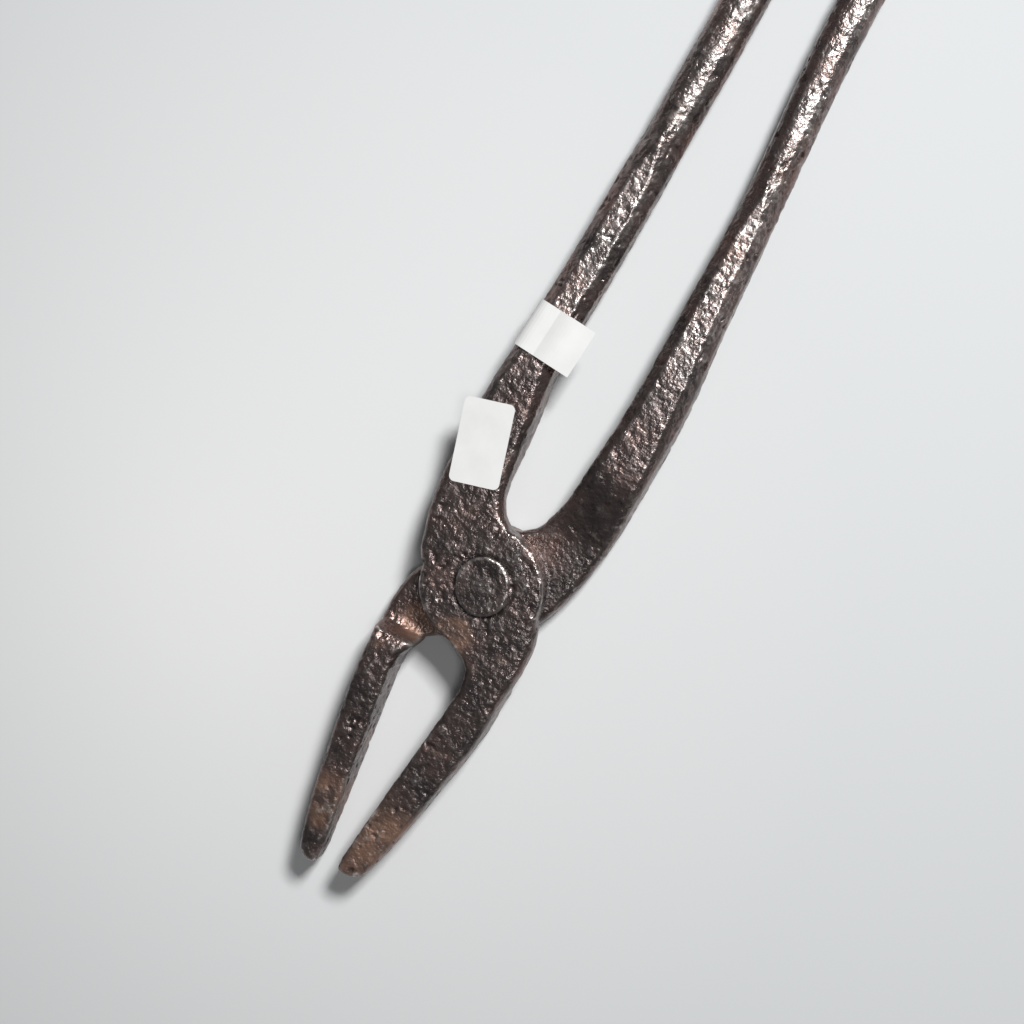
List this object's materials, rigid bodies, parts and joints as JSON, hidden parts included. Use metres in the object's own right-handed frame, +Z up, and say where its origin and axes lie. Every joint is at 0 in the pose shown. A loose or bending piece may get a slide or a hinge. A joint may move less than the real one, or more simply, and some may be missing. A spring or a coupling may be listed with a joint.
{
  "type": "flat jaw tongs",
  "caption": "Forged blacksmith's tongs: long flat jaws and slender reins cross at a riveted boss, and the lower half turns on the rivet to open and close the jaws.",
  "frame": {"origin": "under the centre of the rivet, on the bottom of its lower head, which is on the surface that the tongs lie on", "axes": "+Z up, along the rivet; +Y from the rivet to the ends of the reins, so the jaws point to -Y; +X to the side of the upper half's jaw"},
  "size_m": [0.0623, 0.4642, 0.0213],
  "materials": {
    "forged_iron": "old hammered and pitted forged iron, dark grey-brown with some rust",
    "rivet_iron": "worn forged iron, brighter on its rim",
    "paper": "matt white paper, blank"
  },
  "bodies": {
    "upper": {"upper_half": "forged_iron", "rivet": "rivet_iron", "boss_label": "paper", "rein_label": "paper"},
    "lower": {"lower_half": "forged_iron"}
  },
  "joints": [
    {"name": "rivet_hinge", "type": "hinge", "parent": "upper", "child": "lower", "pos_m": [0, 0, 0.01073], "axis": [0, 0, -1], "range_deg": [-4, 80]}
  ]
}
